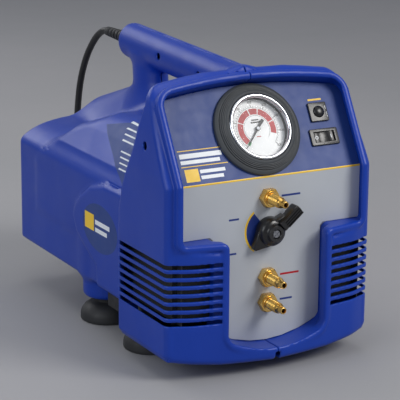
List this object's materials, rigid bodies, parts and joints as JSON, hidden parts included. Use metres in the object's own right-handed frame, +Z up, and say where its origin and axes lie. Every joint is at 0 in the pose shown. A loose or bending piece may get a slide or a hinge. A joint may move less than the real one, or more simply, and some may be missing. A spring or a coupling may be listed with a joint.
{
  "type": "refrigerant recovery machine",
  "caption": "Portable refrigerant recovery machine: carry-handle housing with louvres, a sloped gauge panel, flare ports, a selector, an oil-less compressor and a fan-cooled condenser.",
  "frame": {"origin": "on the floor under the centre of the machine's bounding box, cord left out", "axes": "+Z up, the control panel faces -Y, +X to the right of someone facing the panel"},
  "size_m": [0.227, 0.5775, 0.294],
  "materials": {
    "blue_housing": "satin moulded polyethylene, fine grain",
    "black_steel": "satin black powder coat",
    "panel_sheet": "satin",
    "panel_overlay": "fine textured polycarbonate, light grey below and blue above a thin yellow line",
    "black_rubber": "moulded rubber",
    "zinc_steel": "bright zinc",
    "black_screw": "black oxide",
    "chrome": "polished",
    "lens": "clear",
    "dial": "white enamel with a red band and black marks",
    "pointer": "matt black",
    "brass": "turned",
    "black_plastic": "moulded",
    "cast_aluminium": "as cast",
    "motor_steel": "varnished laminations",
    "copper": "drawn copper tube"
  },
  "bodies": {
    "machine": {"left_housing": "blue_housing", "right_housing": "blue_housing", "base_plate": "black_steel", "front_panel": "panel_sheet", "panel_overlay": "panel_overlay", "foot_front_left": "black_rubber", "foot_front_right": "black_rubber", "foot_rear_left": "black_rubber", "foot_rear_right": "black_rubber", "base_screws": "zinc_steel", "panel_screws": "black_screw", "handle_screws": "black_screw", "rear_grille": "black_steel", "grille_screws": "zinc_steel", "gauge_boot": "black_rubber", "gauge_case": "black_steel", "gauge_bezel": "chrome", "gauge_lens": "lens", "gauge_dial": "dial", "gauge_movement": "brass", "gauge_stem": "brass", "switch_housing": "black_plastic", "breaker_housing": "black_plastic", "purge_port": "brass", "discharge_port": "brass", "suction_port": "brass", "port_nuts": "brass", "valve_body": "brass", "strain_relief": "black_rubber", "crankcase": "cast_aluminium", "left_cylinder": "cast_aluminium", "right_cylinder": "cast_aluminium", "left_head": "cast_aluminium", "right_head": "cast_aluminium", "front_bearing": "zinc_steel", "rear_bearing": "zinc_steel", "motor_stator": "motor_steel", "motor_end_bell": "cast_aluminium", "condenser_core": "cast_aluminium", "condenser_tubes": "copper", "run_capacitor": "cast_aluminium", "inlet_filter": "copper", "suction_line": "copper", "discharge_line": "copper", "inner_lead": "black_plastic", "power_cord": "black_rubber", "cord_coil": "black_rubber", "cord_tail": "black_rubber", "plug_body": "black_plastic", "plug_pins": "brass"},
    "knob": {"selector_knob": "black_plastic", "knob_screw": "zinc_steel", "valve_stem": "zinc_steel"},
    "pointer": {"gauge_pointer": "pointer"},
    "rocker": {"switch_rocker": "black_plastic"},
    "reset_button": {"breaker_button": "black_plastic"},
    "shaft": {"crankshaft": "zinc_steel", "motor_rotor": "motor_steel", "cooling_fan": "black_plastic"},
    "pistons": {"piston_yoke": "cast_aluminium"}
  },
  "joints": [
    {"name": "selector_turn", "type": "hinge", "parent": "machine", "child": "knob", "pos_m": [0, -0.164, 0.137], "axis": [0, 1, 0], "range_deg": [0, 86]},
    {"name": "pointer_sweep", "type": "hinge", "parent": "machine", "child": "pointer", "pos_m": [0, -0.14025, 0.23064], "axis": [0, 0.866, -0.5], "range_deg": [0, 270], "stiffness_Nm_per_rad": 0.002},
    {"name": "rocker_tilt", "type": "hinge", "parent": "machine", "child": "rocker", "pos_m": [0.072, -0.14474, 0.21487], "axis": [0, 0.5, 0.866], "range_deg": [0, 14]},
    {"name": "reset_travel", "type": "slide", "parent": "machine", "child": "reset_button", "axis": [0, -0.866, 0.5], "range_m": [0, 0.004]},
    {"name": "shaft_spin", "type": "hinge", "parent": "machine", "child": "shaft", "pos_m": [0, -0.052, 0.103], "axis": [0, 1, 0], "continuous": true},
    {"name": "piston_stroke", "type": "slide", "parent": "machine", "child": "pistons", "axis": [1, 0, 0], "range_m": [-0.008, 0.008]}
  ]
}
